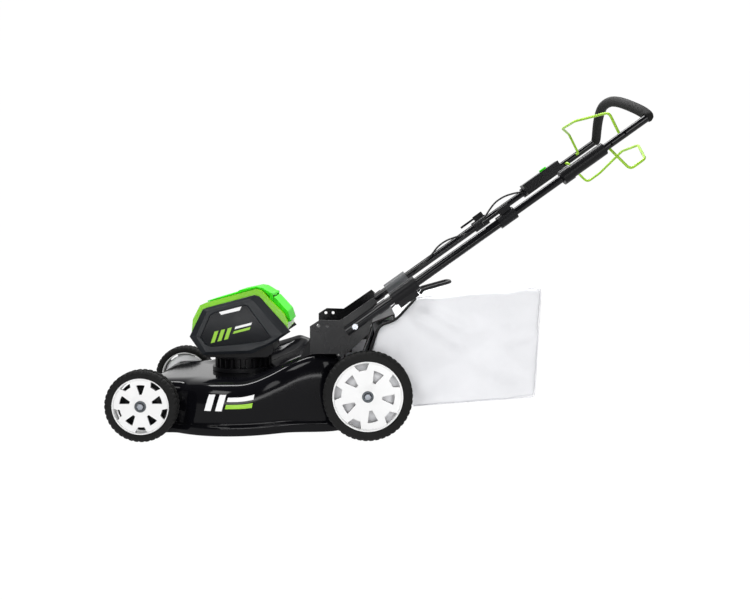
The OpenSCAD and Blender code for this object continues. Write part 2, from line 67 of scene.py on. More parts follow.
def at(x, y, z):
    """A point in millimetres from the front wheel centre, the middle and the ground."""
    return Vector((X0 + x * MM, y * MM, z * MM))


# ---- Materials --------------------------------------------------------------
MOTTLE_SCALE = 9.0        # broad patches of colour and roughness
WEAVE_SCALE = 1400 / 6.28  # scale of the two crossed thread waves


def new_material(name):
    mat = bpy.data.materials.new(name)
    mat.use_nodes = True
    nodes, links = mat.node_tree.nodes, mat.node_tree.links
    return mat, nodes, links, nodes["Principled BSDF"]


def add_node(nodes, kind, **sockets):
    node = nodes.new(kind)
    for key, value in sockets.items():
        node.inputs[key.replace("_", " ")].default_value = value
    return node


def ramp_between(nodes, links, source, low, high, start=0.3, end=0.7):
    """Turns a 0..1 output into a colour or grey between two values."""
    ramp = nodes.new("ShaderNodeValToRGB")
    ramp.color_ramp.elements[0].position = start
    ramp.color_ramp.elements[1].position = end
    ramp.color_ramp.elements[0].color = low
    ramp.color_ramp.elements[1].color = high
    links.new(source, ramp.inputs["Fac"])
    return ramp.outputs["Color"]


def grey(v):
    return (v, v, v, 1)


def surface(name, color, rough=(0.3, 0.4), metallic=0.0, grain=300.0, bump=0.05, vary=0.12,
            bump_distance=0.0004, sheen=0.0, specular=0.5):
    """A painted, moulded or rubber surface with mottled colour, roughness and grain."""
    mat, nodes, links, shader = new_material(name)
    coords = nodes.new("ShaderNodeTexCoord")
    broad = add_node(nodes, "ShaderNodeTexNoise", Scale=MOTTLE_SCALE, Detail=4.0)
    fine = add_node(nodes, "ShaderNodeTexNoise", Scale=grain, Detail=3.0)
    for tex in (broad, fine):
        links.new(coords.outputs["Object"], tex.inputs["Vector"])
    dark = tuple(c * (1 - vary) for c in color) + (1,)
    light = tuple(min(1, c * (1 + vary)) for c in color) + (1,)
    links.new(ramp_between(nodes, links, broad.outputs["Fac"], dark, light),
              shader.inputs["Base Color"])
    links.new(ramp_between(nodes, links, broad.outputs["Fac"], grey(rough[0]), grey(rough[1])),
              shader.inputs["Roughness"])
    bumper = add_node(nodes, "ShaderNodeBump", Strength=bump, Distance=bump_distance)
    links.new(fine.outputs["Fac"], bumper.inputs["Height"])
    links.new(bumper.outputs["Normal"], shader.inputs["Normal"])
    shader.inputs["Metallic"].default_value = metallic
    shader.inputs["Specular IOR Level"].default_value = specular
    shader.inputs["Sheen Weight"].default_value = sheen
    return mat


def weave_cloth(name, color):
    """Woven polyester: two crossed thread waves, soft mottling and sheen."""
    mat, nodes, links, shader = new_material(name)
    coords = nodes.new("ShaderNodeTexCoord")
    waves = []
    for direction in ("X", "Z"):
        wave = add_node(nodes, "ShaderNodeTexWave", Scale=WEAVE_SCALE, Distortion=0.6,
                        Detail=1.0)
        wave.bands_direction = direction
        links.new(coords.outputs["Object"], wave.inputs["Vector"])
        waves.append(wave.outputs["Fac"])
    mix = nodes.new("ShaderNodeMath")
    mix.operation = "ADD"
    links.new(waves[0], mix.inputs[0])
    links.new(waves[1], mix.inputs[1])
    broad = add_node(nodes, "ShaderNodeTexNoise", Scale=6.0, Detail=5.0)
    links.new(coords.outputs["Object"], broad.inputs["Vector"])
    low = tuple(c * 0.93 for c in color) + (1,)
    links.new(ramp_between(nodes, links, broad.outputs["Fac"], low, tuple(color) + (1,)),
              shader.inputs["Base Color"])
    bumper = add_node(nodes, "ShaderNodeBump", Strength=0.25, Distance=0.0004)
    links.new(mix.outputs[0], bumper.inputs["Height"])
    links.new(bumper.outputs["Normal"], shader.inputs["Normal"])
    shader.inputs["Roughness"].default_value = 0.75
    shader.inputs["Sheen Weight"].default_value = 0.3
    return mat


M = {
    "deck": surface("deck_enamel", (0.003, 0.003, 0.004), (0.07, 0.12), grain=60,
                    bump=0.015, bump_distance=0.001, specular=0.13),
    "tube": surface("tube_powder_coat", (0.004, 0.004, 0.005), (0.08, 0.13), grain=300,
                    bump=0.01, specular=0.22),
    "steel_black": surface("bracket_powder_coat", (0.005, 0.005, 0.006), (0.20, 0.30),
                           grain=300, bump=0.02, specular=0.2),
    "plastic": surface("black_moulded", (0.006, 0.006, 0.007), (0.30, 0.42), grain=1400,
                       bump=0.15, specular=0.14),
    "grey": surface("dark_grey_moulded", (0.014, 0.016, 0.019), (0.26, 0.36), grain=1400,
                    bump=0.12, specular=0.25),
    "inset": surface("glossy_inset", (0.003, 0.004, 0.006), (0.12, 0.18), grain=900,
                     bump=0.03, specular=0.1),
    # Grey for the far knuckle's sleeve, lighter than its black plastic: painted highlight
    "sleeve": surface("sleeve_painted_highlight", (0.05, 0.052, 0.056), (0.35, 0.5), grain=1400, bump=0.15),
    "lime": surface("lime_shell", (0.19, 0.55, 0.004), (0.20, 0.30), grain=500, bump=0.05,
                    specular=0.35),
    "bright": surface("lime_lid", (0.045, 0.60, 0.012), (0.42, 0.52), grain=500, bump=0.04,
                      specular=0.06),
    "rim": surface("white_moulded", (0.80, 0.80, 0.80), (0.32, 0.42), grain=1200, bump=0.08,
                   vary=0.03),
    "rim_back": surface("white_moulded_web", (0.80, 0.80, 0.82), (0.4, 0.5), grain=1200,
                        bump=0.08),
    # Dark grey for the window walls and the back of the white wheel webs: painted shade, not the
    # moulding's own colour
    "rim_shade": surface("white_moulded_painted_shade", (0.22, 0.22, 0.22), (0.4, 0.5), grain=1200,
                         bump=0.08),
    "tyre": surface("tyre_rubber", (0.006, 0.006, 0.006), (0.62, 0.8), grain=700, bump=0.4,
                    specular=0.2),
    "cap": surface("hub_cap_steel", (0.10, 0.11, 0.12), (0.3, 0.4), metallic=1.0, grain=800,
                   bump=0.1),
    "zinc": surface("zinc_plate", (0.36, 0.38, 0.42), (0.22, 0.38), metallic=1.0, grain=800,
                    bump=0.1),
    "blade": surface("blade_steel", (0.32, 0.32, 0.33), (0.28, 0.42), metallic=1.0, grain=500,
                     bump=0.15),
    "alloy": surface("cast_alloy", (0.5, 0.5, 0.5), (0.4, 0.55), metallic=1.0, grain=400,
                     bump=0.3),
    "foam": surface("foam_rubber", (0.006, 0.006, 0.006), (0.72, 0.88), grain=900, bump=0.6,
                    specular=0.2, bump_distance=0.0006),
    "wire": surface("lime_wire", (0.27, 0.50, 0.02), (0.30, 0.40), grain=900, bump=0.05,
                    specular=0.3),
    "bag": weave_cloth("bag_weave", (0.80, 0.805, 0.83)),
    "trim": surface("bag_webbing", (0.008, 0.008, 0.009), (0.7, 0.85), grain=1600, bump=0.5,
                    sheen=0.1, specular=0.3),
    "cable": surface("cable_jacket", (0.005, 0.005, 0.005), (0.4, 0.5), grain=1000, bump=0.1,
                     specular=0.3),
    "orange": surface("key_plastic", (0.75, 0.25, 0.02), (0.3, 0.4), grain=900, bump=0.1),
    "decal_white": surface("decal_white", (0.86, 0.86, 0.86), (0.25, 0.35), grain=600, bump=0.02,
                           vary=0.02),
    "decal_lime": surface("decal_lime", (0.28, 0.58, 0.01), (0.25, 0.35), grain=600, bump=0.02,
                          vary=0.03),
}
SLOT_MATERIAL = {
    "gloss_black_steel": "deck", "black_steel_tube": "tube", "black_plastic": "plastic",
    "grey_plastic": "grey", "lime_plastic": "lime", "bright_lime_plastic": "bright",
    "white_rim": "rim", "tyre_rubber": "tyre", "zinc_steel": "zinc", "blade_steel": "blade",
    "cast_alloy": "alloy", "foam": "foam", "lime_wire": "wire", "bag_cloth": "bag",
    "cable_black": "cable", "orange_plastic": "orange"}
# Moulded housings with generous edge radii, and the broken edge of every other piece, in mm
ROUNDED_MM = {"bail_housing": 8, "control_box": 5, "left_knuckle": 6, "right_knuckle": 6,
              "head_base": 2, "left_cam_block": 3, "right_cam_block": 3}
BROKEN_EDGE_MM = 0.8
EDGE_ANGLE = 35           # only corners sharper than this are broken, in degrees


def dress_cad_nodes():
    """Gives each CAD node its material, and a small bevel that catches the light."""
    slot_of = {s["node"]: s["material_slot"] for s in frame["record"]["subparts"]}
    plain = ("bag_frame", "upper_handle")
    # the far knuckle takes the grey sleeve colour, a painted highlight
    own_look = {"lid_pin": "bright", "right_knuckle": "sleeve"}
    for name, obj in NODES.items():
        look = own_look.get(name, SLOT_MATERIAL[slot_of[name]])
        if name.endswith("_arm") or name.endswith("_bracket"):
            look = "steel_black"
        material = M[look]
        for slot in obj.material_slots:
            slot.material = material
        if not obj.material_slots:
            obj.data.materials.append(material)
        if name not in plain:
            width = ROUNDED_MM.get(name, BROKEN_EDGE_MM)
            soft_edge(obj, width, 4 if name in ROUNDED_MM else 2, EDGE_ANGLE)


# ---- Mesh helpers -------------------------------------------------------------
def make_object(name, verts, faces, material, body, replaces=(), smooth=True):
    mesh = bpy.data.meshes.new(name)
    mesh.from_pydata([tuple(v) for v in verts], [], faces)
    mesh.validate()
    obj = bpy.data.objects.new(name, mesh)
    bpy.context.scene.collection.objects.link(obj)
    mesh.materials.append(material)
    for poly in mesh.polygons:
        poly.use_smooth = smooth
    return finish_piece(obj, body, replaces)


def finish_piece(obj, body, replaces=()):
    """Puts a piece on its body, in place of the CAD nodes it stands for."""
    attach(obj, body)
    if replaces:
        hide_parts(*replaces)
    return obj


def flat_faces(obj):
    for poly in obj.data.polygons:
        poly.use_smooth = False


def soft_edge(obj, width, segments, angle=30):
    """Bevels, by a width in mm, the edges that turn by more than an angle in degrees."""
    bevel = obj.modifiers.new("edge", "BEVEL")
    bevel.width = width * MM
    bevel.segments = segments
    bevel.limit_method = "ANGLE"
    bevel.angle_limit = math.radians(angle)


def thicken(obj, thickness):
    """Gives a surface a wall, in mm, behind its face."""
    wall = obj.modifiers.new("wall", "SOLIDIFY")
    wall.thickness = thickness * MM
    wall.offset = -1
    return wall


def round_corners(points, radius, steps=6):
    """Replaces each inner corner of a route by an arc-like bend."""
    out = [points[0]]
    for before, corner, after in zip(points, points[1:], points[2:]):
        a = corner + (before - corner).normalized() * min(radius, (before - corner).length * 0.45)
        b = corner + (after - corner).normalized() * min(radius, (after - corner).length * 0.45)
        for i in range(steps + 1):
            t = i / steps
            out.append(a * (1 - t) ** 2 + corner * 2 * t * (1 - t) + b * t * t)
    out.append(points[-1])
    return out


def sweep(name, route, radius, material, body, sides=16, replaces=(), caps=True,
          radius_at=None):
    """A round bar along a route, with parallel-transported rings."""
    tangents = []
    for i in range(len(route)):
        a, b = route[max(i - 1, 0)], route[min(i + 1, len(route) - 1)]
        tangents.append((b - a).normalized())
    normal = tangents[0].orthogonal().normalized()
    verts, faces = [], []
    for i, (point, tangent) in enumerate(zip(route, tangents)):
        normal = (normal - tangent * normal.dot(tangent)).normalized()
        side = tangent.cross(normal)
        r = radius_at(i / (len(route) - 1)) if radius_at else radius
        for k in range(sides):
            a = 2 * math.pi * k / sides
            verts.append(point + normal * math.cos(a) * r + side * math.sin(a) * r)
    for i in range(len(route) - 1):
        for k in range(sides):
            n = (k + 1) % sides
            faces.append((i * sides + k, i * sides + n, (i + 1) * sides + n, (i + 1) * sides + k))
    if caps:
        faces.append(tuple(reversed(range(sides))))
        last = (len(route) - 1) * sides
        faces.append(tuple(range(last, last + sides)))
    return make_object(name, verts, faces, material, body, replaces)


# ---- Deck ---------------------------------------------------------------------
DECK_MID = 268.0          # ray origin of the plan outline
BLADE_MID = 245.0         # middle of the round blade chamber
BAND_R = 274.0            # and its radius
DECK_FRONT, DECK_REAR, DECK_HALF = -40.0, 575.0, 222.0
DECK_RAYS = 288
CORNER_PASSES = 3         # smoothing of the whole outline
FLANK_PASSES = 48         # smoothing of the rear flanks
CROWN_Z = 163.2
CROWN_SHARES = (0.85, 0.68, 0.5, 0.33, 0.16, 0.03)
DECK_STEEL = 2.4
MOUTH_X, MOUTH_HALF, MOUTH_LOW, MOUTH_TOP = 560, 150, 70, 205     # rear mouth to the bag
RAMP_FROM, RAMP_TO, RAMP_RISE = 262, 500, 76                      # climb to the rear tunnel
FLANK_FROM, FLANK_LENGTH = 230, 80        # where the softer rear flanks take over
SIDE_FOOT, SIDE_TOP = 60, 150             # heights between which the climb fades in
SKIRT_REACH = 262         # skirt's half width where the decals sit
DECAL_LIFT = 0.5
# Inset from the plan outline and height of each ring, from the lower edge to the crown
DECK_LEVELS = [
    (1, 13.5), (0, 15), (0, 26), (0, 38), (1.2, 41), (4, 42.6), (6, 43.2), (6.6, 45.5), (7.2, 58),
    (8.5, 78), (10, 98), (12, 116), (15, 130), (20, 141), (27, 149.5), (37, 156), (50, 160),
    (70, 162.5), (95, CROWN_Z)]


def deck_outline():
    """Distance from the plan's middle to the skirt, for each ray."""
    rays = np.linspace(0, 2 * math.pi, DECK_RAYS, endpoint=False)
    c, s = np.cos(rays), np.sin(rays)
    shift = DECK_MID - BLADE_MID
    disc = -shift * c + np.sqrt(BAND_R ** 2 - (shift * s) ** 2)
    with np.errstate(divide="ignore"):
        along = np.where(c > 0, (DECK_REAR - DECK_MID) / c, (DECK_FRONT - DECK_MID) / c)
        across = DECK_HALF / np.abs(s)
    straight = np.minimum(along, across)
    radius = np.maximum(disc, straight)
    softer = radius
    for turn in range(FLANK_PASSES):
        softer = (np.roll(softer, 1) + softer * 2 + np.roll(softer, -1)) / 4
        if turn == CORNER_PASSES - 1:
            radius = softer
    # the rear flanks flow out of the round chamber without a corner
    blend = np.clip((c * radius + DECK_MID - FLANK_FROM) / FLANK_LENGTH, 0, 1)
    return rays, radius + (softer - radius) * blend


def smooth_step(low, high, value):
    t = min(1.0, max(0.0, (value - low) / (high - low)))
    return t * t * (3 - 2 * t)


# Top of the ridge along the deck's right side, and the crown it stands on
RIDGE_X = (-29, 106, 167, 233, 439)
RIDGE_Z = (158, 166, 181, 197, 262)
RIDGE_FOOT = 163
RIDGE_Y0, RIDGE_Y1 = 100, 150             # rises between these, across the deck
RIDGE_END0, RIDGE_END1 = 400, 470         # and fades out between these, along it


def deck_height(x, y, z):
    """Raises the crown into the volute that climbs to the rear tunnel."""
    upper = smooth_step(SIDE_FOOT, SIDE_TOP, z)
    ramp = RAMP_RISE * smooth_step(RAMP_FROM, RAMP_TO, x)
    ridge = max(0.0, float(np.interp(x, RIDGE_X, RIDGE_Z)) - RIDGE_FOOT - ramp)
    ridge *= smooth_step(RIDGE_Y0, RIDGE_Y1, y) * (1 - smooth_step(RIDGE_END0, RIDGE_END1, x))
    return z + upper * (ramp + ridge)


DECK_RAY, DECK_RADIUS = deck_outline()


def deck_place(ray, reach, z):
    """A point on the pressing, by its ray, its distance along it and its height in the side."""
    x, y = DECK_MID + reach * math.cos(ray), reach * math.sin(ray)
    return at(x, y, deck_height(x, y, z))


def deck_point(ray, inset, z, lift=0.0):
    """A point on a ring of the pressing, by its ray and its inset from the plan outline."""
    rays, radii = np.append(DECK_RAY, 2 * math.pi), np.append(DECK_RADIUS, DECK_RADIUS[0])
    return deck_place(ray, np.interp(ray, rays, radii) - inset + lift, z)


def in_rear_mouth(point):
    return (point.x > X0 + MOUTH_X * MM and abs(point.y) < MOUTH_HALF * MM
            and MOUTH_LOW * MM < point.z < MOUTH_TOP * MM)


def build_deck():
    """The pressing, from the lower edge of the skirt to the crown, open at the rear mouth."""
    verts, faces = [], []
    for inset, z in DECK_LEVELS:
        verts += [deck_point(ray, inset, z) for ray in DECK_RAY]
    inner = DECK_LEVELS[-1][0]
    for share in CROWN_SHARES:
        verts += [deck_place(ray, (radius - inner) * share, CROWN_Z)
                  for ray, radius in zip(DECK_RAY, DECK_RADIUS)]
    rows = len(verts) // DECK_RAYS
    for row in range(rows - 1):
        for k in range(DECK_RAYS):
            n = (k + 1) % DECK_RAYS
            a, b = row * DECK_RAYS, (row + 1) * DECK_RAYS
            if not in_rear_mouth((verts[a + k] + verts[b + n]) / 2):
                faces.append((a + k, a + n, b + n, b + k))
    faces.append(tuple((rows - 1) * DECK_RAYS + k for k in range(DECK_RAYS)))
    deck = make_object("deck_pressing", verts, faces, M["deck"], "root", ("deck_shell",))
    thicken(deck, DECK_STEEL)


def deck_patch(name, ray0, ray1, z0, z1, slant, material):
    """A thin decal that follows the deck's side."""
    verts, faces = [], []
    across, up = 10, 6
    insets = [level[0] for level in DECK_LEVELS]
    heights = [level[1] for level in DECK_LEVELS]
    for j in range(up + 1):
        z = z0 + (z1 - z0) * j / up
        inset = float(np.interp(z, heights, insets))
        for i in range(across + 1):
            ray = ray0 + (ray1 - ray0) * i / across + slant * j / up
            verts.append(deck_point(ray, inset, z, lift=DECAL_LIFT))
    for j in range(up):
        for i in range(across):
            a = j * (across + 1) + i
            faces.append((a, a + 1, a + across + 2, a + across + 1))
    return make_object(name, verts, faces, material, "root", ())


def deck_ray(x):
    """Ray that meets the left side at a given distance behind the front wheel."""
    return 2 * math.pi - math.acos(min(1, max(-1, (x - DECK_MID) / SKIRT_REACH)))


def build_deck_decals():
    """Two slanted bars and two stripes on the left side, in place of lettering."""
    for i, x in enumerate((176, 206)):
        deck_patch(f"deck_bar_{i}", deck_ray(x), deck_ray(x + 18), 84, 130, 0.045,
                   M["decal_white"])
    deck_patch("deck_stripe_white", deck_ray(238), deck_ray(312), 110, 122, 0.012,
               M["decal_white"])
    deck_patch("deck_stripe_lime", deck_ray(233), deck_ray(307), 90, 102, 0.012,
               M["decal_lime"])


# ---- Wheels ---------------------------------------------------------------------
# Name, tyre radius, tyre width and lugs on each shoulder
WHEELS = (("front_left", 101.5, 44, 40), ("front_right", 101.5, 44, 40),
          ("rear_left", 127, 48, 46), ("rear_right", 127, 48, 46))
FRONT_TURN, REAR_TURN = math.pi / 2, -0.12      # where the windows stand at rest
RIM_SHARE = 0.785         # rim edge as a share of the tyre radius
RIM_WALL = 7
LUG_PHASES = 6            # steps round the tread for one lug and its gap
LUG_CUT = 1.5
ROUND_STEPS = 96
WINDOWS = 10              # inner and outer windows, in turn
# Steps from a window's middle to its own edge, and to the middle of the bar beside it
WINDOW_STEPS, BAR_STEPS = 6, 12
# Plates behind the windows: bore, and depths in from the lip
PLATE_BORE = 14
PLATE_FACE, PLATE_REAR = 22, 24
BACK_FACE, BACK_REAR = 24.4, 27
# Reach of the black plate behind the front wheels' windows, as a share of the rim edge; the plate
# is painted shade, the real wheel is open there
SHADE_PLATE_SHARE = 0.88


def wheel_place(prefix):
    """Centre of a wheel, and which way its outer face looks along Y."""
    lo, hi = (Vector(c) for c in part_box(prefix + "_tyre"))
    centre = (lo + hi) / 2
    return centre, -1 if centre.y < 0 else 1


def about_axle(centre, outward, angle, radius, depth):
    """A point round the axle; the depth runs outward from the wheel's middle."""
    return centre + Vector((math.cos(angle) * radius, outward * depth,
                            math.sin(angle) * radius)) * MM


def ring_mesh(name, profile, segments, centre, outward, material, body, replaces,
              change=None):
    """Turns a closed profile of (radius, depth) about the wheel's axle."""
    verts, faces = [], []
    for i in range(segments):
        a = 2 * math.pi * i / segments
        for k, (radius, depth) in enumerate(profile):
            if change:
                radius, depth = change(i, k, radius, depth)
            verts.append(about_axle(centre, outward, a, radius, depth))
    rows = len(profile)
    for i in range(segments):
        j = (i + 1) % segments
        for k in range(rows):
            n = (k + 1) % rows
            quad = (i * rows + k, j * rows + k, j * rows + n, i * rows + n)
            faces.append(tuple(reversed(quad)) if outward > 0 else quad)
    return make_object(name, verts, faces, material, body, replaces)


def build_tyre(prefix, radius, width, lugs):
    """Rubber tyre with shoulder lugs and a grooved tread."""
    centre, outward = wheel_place(prefix)
    h, bead = width / 2, radius * RIM_SHARE
    profile = [
        (bead, -h + 3), (bead + 3, -h + 1), (radius - 12, -h), (radius - 7, -h + 0.6),
        (radius - 3, -h + 3), (radius - 0.2, -h + 6), (radius, -h + 13), (radius - 3, -h + 14),
        (radius - 3, -2), (radius, -1.2), (radius, 1.2), (radius - 3, 2),
        (radius - 3, h - 14), (radius, h - 13), (radius - 0.2, h - 6), (radius - 3, h - 3),
        (radius - 7, h - 0.6), (radius - 12, h), (bead + 3, h - 1), (bead, h - 3)]
    shoulder_left, shoulder_right = (3, 4, 5, 6), (13, 14, 15, 16)

    def lug(i, k, r, depth):
        phase = i % LUG_PHASES
        if (k in shoulder_left and phase in (0, 1)) or (k in shoulder_right and phase in (3, 4)):
            return r - LUG_CUT, depth * 0.99
        return r, depth

    tyre = ring_mesh(prefix + "_tyre_rubber", profile, lugs * LUG_PHASES, centre, outward,
                     M["tyre"], prefix + "_wheel", (prefix + "_tyre",), lug)
    flat_faces(tyre)


# Web of the wheel from hub to lip: share of the tyre's radius, depth in from the lip
RIM_WEB = [
    (0.10, 2), (0.165, 2), (0.195, 4), (0.26, 6), (0.325, 7), (0.42, 7.5), (0.51, 7.5),
    (0.59, 7), (0.64, 6.5), (0.69, 6), (0.742, 5.5), (0.750, 3), (0.757, 0.6), (0.782, 0.4)]
INNER_WINDOW = (4, 7, 0.032, 0.118)     # first and last web ring, half widths at both
OUTER_WINDOW = (7, 10, 0.085, 0.165)


def window_half_angle(window, row):
    """Half the angle that a window takes at one ring of the web."""
    first, last, narrow, wide = window
    row = min(last, max(first, row))
    low, high = RIM_WEB[first][0], RIM_WEB[last][0]
    share = RIM_WEB[row][0]
    half = narrow + (wide - narrow) * (share - low) / (high - low)
    return half / share


def build_rim(prefix, radius, width, turn, no_shade_plate):
    """Moulded wheel: a dished web with five inner and five outer windows, and a lip."""
    centre, outward = wheel_place(prefix)
    lip = width / 2 - 1
    pitch = 2 * math.pi / WINDOWS
    columns = [(sector, step) for sector in range(WINDOWS)
               for step in range(-BAR_STEPS, BAR_STEPS)]
    verts, faces = [], []
    for row, (share, depth) in enumerate(RIM_WEB):
        for sector, step in columns:
            window = INNER_WINDOW if sector % 2 == 0 else OUTER_WINDOW
            half = window_half_angle(window, row)
            if abs(step) <= WINDOW_STEPS:
                off = half * step / WINDOW_STEPS
            else:
                rest = (abs(step) - WINDOW_STEPS) / (BAR_STEPS - WINDOW_STEPS)
                off = math.copysign(half + (pitch / 2 - half) * rest, step)
            a = turn + sector * pitch + off
            verts.append(about_axle(centre, outward, a, radius * share, lip - depth))
    count = len(columns)
    for row in range(len(RIM_WEB) - 1):
        for i, (sector, step) in enumerate(columns):
            first, last = (INNER_WINDOW if sector % 2 == 0 else OUTER_WINDOW)[:2]
            if first <= row < last and -WINDOW_STEPS <= step < WINDOW_STEPS:
                continue
            n = (i + 1) % count
            low, high = row * count, (row + 1) * count
            quad = (low + i, low + n, high + n, high + i)
            faces.append(quad if outward > 0 else tuple(reversed(quad)))
    rim = make_object(prefix + "_rim_moulding", verts, faces, M["rim"], prefix + "_wheel",
                      (prefix + "_rim",))
    wall = thicken(rim, RIM_WALL)
    # the walls of the windows and the back of the web take the dark grey, painted shade
    rim.data.materials.append(M["rim_shade"])
    wall.material_offset = 1
    wall.material_offset_rim = 1
    soft_edge(rim, 0.5, 2, 50)
    build_rim_inside(prefix, radius, width, no_shade_plate)


def build_rim_inside(prefix, radius, width, no_shade_plate):
    """Barrel under the tyre, and the plate behind the windows. On the front wheels the plate is
    black, painted shade seen through the windows, with a pale back.
    """
    centre, outward = wheel_place(prefix)
    lip = width / 2 - 1
    edge = radius * RIM_SHARE
    barrel = [(edge - 4, lip - 9), (edge - 4, 4 - width / 2), (edge - 0.2, 4 - width / 2),
              (edge - 0.2, lip - 1)]
    reach = edge - 5 if no_shade_plate else edge * SHADE_PLATE_SHARE
    plate = [(PLATE_BORE, lip - PLATE_REAR), (reach, lip - PLATE_REAR),
             (reach, lip - PLATE_FACE), (PLATE_BORE, lip - PLATE_FACE)]
    # on the front wheels this black plate is painted shade in the windows
    ring_mesh(prefix + "_rim_inner_plate", plate, ROUND_STEPS, centre, outward,
              M["rim_back"] if no_shade_plate else M["plastic"], prefix + "_wheel", ())
    if not no_shade_plate:
        back = [(PLATE_BORE, lip - BACK_REAR), (reach, lip - BACK_REAR),
                (reach, lip - BACK_FACE), (PLATE_BORE, lip - BACK_FACE)]
        ring_mesh(prefix + "_rim_back", back, ROUND_STEPS, centre, outward, M["rim_back"],
                  prefix + "_wheel", ())
    ring_mesh(prefix + "_rim_barrel", barrel, ROUND_STEPS, centre, outward, M["rim"],
              prefix + "_wheel", ())


def build_hub_cap(prefix, width):
    """Dark washer cap that turns with the wheel, and the axle's hex bolt that stays."""
    centre, outward = wheel_place(prefix)
    face = width / 2
    cap = [(9.8, face - 6), (16.2, face - 6), (16.4, face - 5), (16.4, face - 2.4),
           (15.4, face - 1.6), (10.5, face - 1.6), (9.8, face - 2.2)]
    ring_mesh(prefix + "_cap", cap, 48, centre, outward, M["cap"], prefix + "_wheel", ())
    bolt = [(0.4, face - 4.5), (9.4, face - 4.5), (9.4, face - 0.6), (8.4, face + 0.3),
            (0.4, face + 0.5)]
    head = ring_mesh(prefix + "_bolt_head", bolt, 6, centre, outward, M["zinc"],
                     prefix + "_height", ())
    flat_faces(head)


def build_wheels():
    for prefix, radius, width, lugs in WHEELS:
        build_tyre(prefix, radius, width, lugs)
        rear = prefix.startswith("rear")
        build_rim(prefix, radius, width, REAR_TURN if rear else FRONT_TURN, rear)
        build_hub_cap(prefix, width)


# ---- Handle, grip, bails and cables --------------------------------------------------
# Routes as distance along the handle tube, across and above it, from the outside inward
GRIP_ROUTE = [(1008, 236, 0), (1016, 236, 1), (1021, 205, 22), (1024, 150, 51), (1027, 95, 75),
              (1028, 45, 89), (1028, 0, 92)]
GRIP_R, GRIP_BEND = 15.3, 45
GRIP_END_CUT, GRIP_END_SHARE = 1.5, 0.012
BLADE_BAIL_ROUTE = [(932, 229, 2), (932, 205, 2), (942, 205, 73), (893, 70, 106)]
DRIVE_BAIL_ROUTE = [(884, 229, -2), (884, 205, -2), (902, 205, -95), (954, 205, -95),
                    (1010, 70, -65)]
BAIL_R, BAIL_BEND = 3.9, 14
# Cables, from top to bottom; both right ones bow out over their tube
LEFT_UPPER_CABLE = [(716, -212, 0), (690, -210, -4), (650, -210, -9), (610, -210, -9),
                    (575, -211, -4)]
RIGHT_UPPER_CABLE = [(704, 202, 4), (680, 206, 18), (645, 210, 30), (608, 211, 32),
                     (571, 211, 20), (532, 211, 2)]
LEFT_LOWER_CABLE = [(470, -219, -4), (400, -219, -2), (300, -219, -4), (240, -219, -4)]
RIGHT_LOWER_CABLE = [(470, 219, -2), (425, 219, 14), (396, 219, 22), (360, 219, 22),
                     (326, 219, 10), (240, 219, -4)]
CABLE_R, CABLE_BEND = 3.2, 30


def grip_radius(share):
    """Radius of the foam along its length, drawn in a little at both ends."""
    near_end = max(0, 1 - min(share, 1 - share) / GRIP_END_SHARE)
    return (GRIP_R - GRIP_END_CUT * near_end) * MM


def build_grip():
    left = [handle_point(u, -y, n) for u, y, n in GRIP_ROUTE]
    right = [handle_point(u, y, n) for u, y, n in reversed(GRIP_ROUTE[:-1])]
    route = round_corners(left + right, GRIP_BEND * MM, 5)
    foam = sweep("grip_sleeve", route, GRIP_R * MM, M["foam"], "upper_frame", 28, ("foam_grip",),
                 radius_at=grip_radius)


def build_bail(name, corners, node, body):
    """One bent wire; both ends turn into the handle tubes."""
    half = [handle_point(u, y, n) for u, y, n in corners]
    other = [Vector((p.x, -p.y, p.z)) for p in reversed(half)]
    route = round_corners(half + other, BAIL_BEND * MM, 6)
    return sweep(name, route, BAIL_R * MM, M["wire"], body, 14, (node,))


def build_bails():
    build_bail("blade_bail_bent_wire", BLADE_BAIL_ROUTE, "blade_bail", "blade_bail_wire")
    build_bail("drive_bail_bent_wire", DRIVE_BAIL_ROUTE, "drive_bail", "drive_bail_wire")


def build_cables():
    for name, body, points, replaces in (
            ("left_lower_cable", "lower_handle", LEFT_LOWER_CABLE, ("lower_cables",)),
            ("right_lower_cable", "lower_handle", RIGHT_LOWER_CABLE, ()),
            ("right_upper_cable", "upper_frame", RIGHT_UPPER_CABLE, ()),
            ("left_upper_cable", "upper_frame", LEFT_UPPER_CABLE, ("upper_cables",))):
        route = round_corners([handle_point(*p) for p in points], CABLE_BEND * MM)
        sweep(name, route, CABLE_R * MM, M["cable"], body, 12, replaces)


# ---- Grass bag ------------------------------------------------------------------------
BAG_HALF = 196.0
BAG_OUTLINE = [(592, 100), (640, 234), (669, 318), (718, 334), (776, 400), (890, 411),
               (1134, 430), (1142, 422), (1128, 112), (1118, 106), (770, 80)]
# Soft creases on the side panels: start and end in X and Z, depth and half width
BAG_CREASES = [
    ((782, 385), (930, 300), 7, 16), ((770, 345), (925, 255), 6, 18),
    ((1128, 300), (1050, 262), 5, 14), ((780, 200), (1000, 330), 4, 26),
    ((1100, 160), (960, 210), 4, 24), ((800, 120), (900, 190), 4, 20)]
BAG_FRONT = [(593, 102), (640, 234), (669, 319), (718, 335), (776, 399)]
BAG_SEAM = [(776, 400), (890, 411), (1134, 429), (1141, 421), (1127, 112), (1117, 107), (770, 82)]
BAG_INSET = 4             # seams in from the full width
BAG_CLOTH = 1.6
BAG_VOXEL, BAG_QUICK_VOXEL = 8.5, 14
BAG_MOUTH_HALF, BAG_MOUTH_X = 150, 690
BAG_MOUTH_LOW, BAG_MOUTH_TOP = 118, 288
BINDING_R, PIPING_R, SEAM_BEND = 4.2, 1.5, 20


